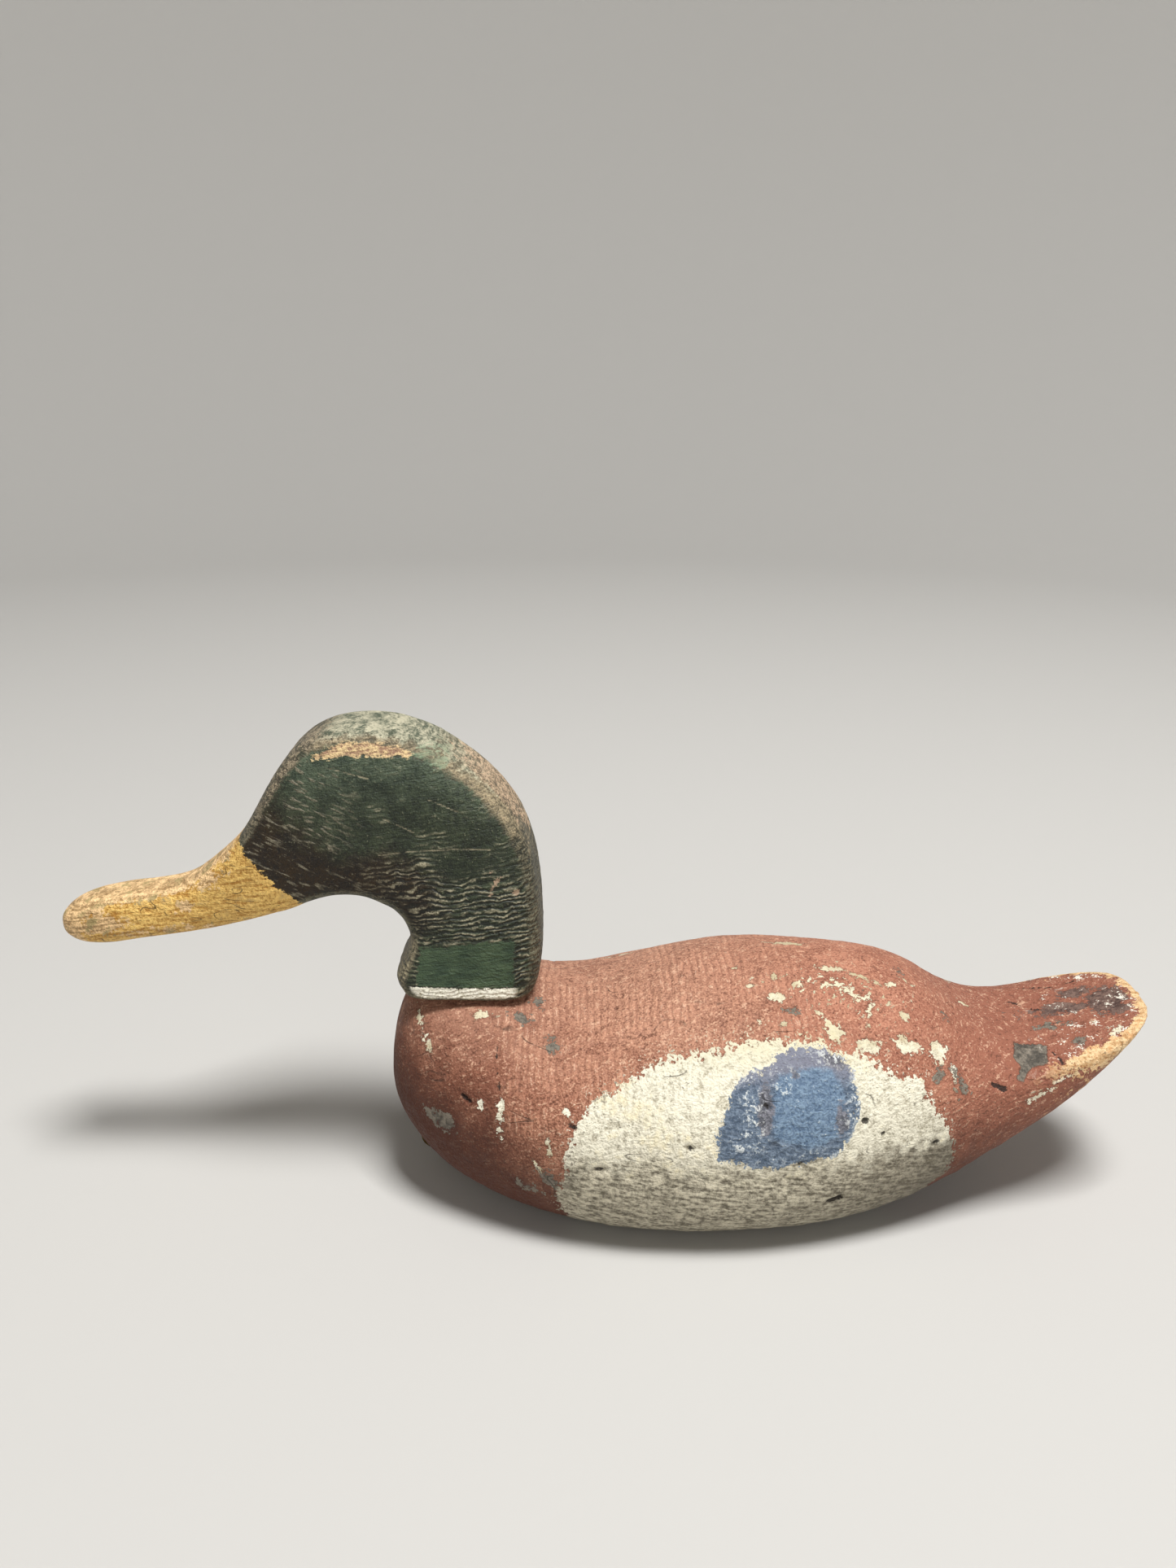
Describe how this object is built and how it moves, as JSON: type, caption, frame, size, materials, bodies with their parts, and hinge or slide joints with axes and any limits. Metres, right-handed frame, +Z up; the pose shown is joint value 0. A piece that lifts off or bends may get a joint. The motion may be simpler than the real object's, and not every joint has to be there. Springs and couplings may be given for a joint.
{
  "type": "duck decoy",
  "caption": "Floating carved wooden duck decoy with a head that turns on a neck dowel, a lead ballast strip and a ring for the anchor line.",
  "frame": {"origin": "middle of the bounding box at its bottom: the flat underside is Z = 0", "axes": "+X towards the tail, -X towards the bill, +Z up, the XZ plane is the middle of the body"},
  "size_m": [0.4386, 0.1404, 0.1959],
  "materials": {
    "body_paint": "worn terracotta, cream and blue paint over rasped wood",
    "head_paint": "worn dark green paint, ochre bill, cream neck band",
    "dowel_wood": "bare turned hardwood",
    "old_steel": "dull, lightly rusted",
    "lead": "dull grey oxidised lead",
    "old_brass": "dark tarnished",
    "galvanised_wire": "dull grey with rust spots"
  },
  "bodies": {
    "hull": {"body": "body_paint", "neck_washer": "old_steel", "ballast_weight": "lead", "ballast_screws": "old_brass", "line_tie_staple": "galvanised_wire"},
    "head": {"head": "head_paint", "neck_dowel": "dowel_wood", "neck_screw": "old_steel"},
    "ring": {"line_tie_ring": "old_brass"}
  },
  "joints": [
    {"name": "head_turn", "type": "hinge", "parent": "hull", "child": "head", "pos_m": [-0.057, 0, 0.086], "axis": [0, 0, 1], "range_deg": [-90, 90]},
    {"name": "ring_swing", "type": "hinge", "parent": "hull", "child": "ring", "pos_m": [-0.0735, 0, 0.0122], "axis": [0, 1, 0], "range_deg": [-20, 90]}
  ]
}
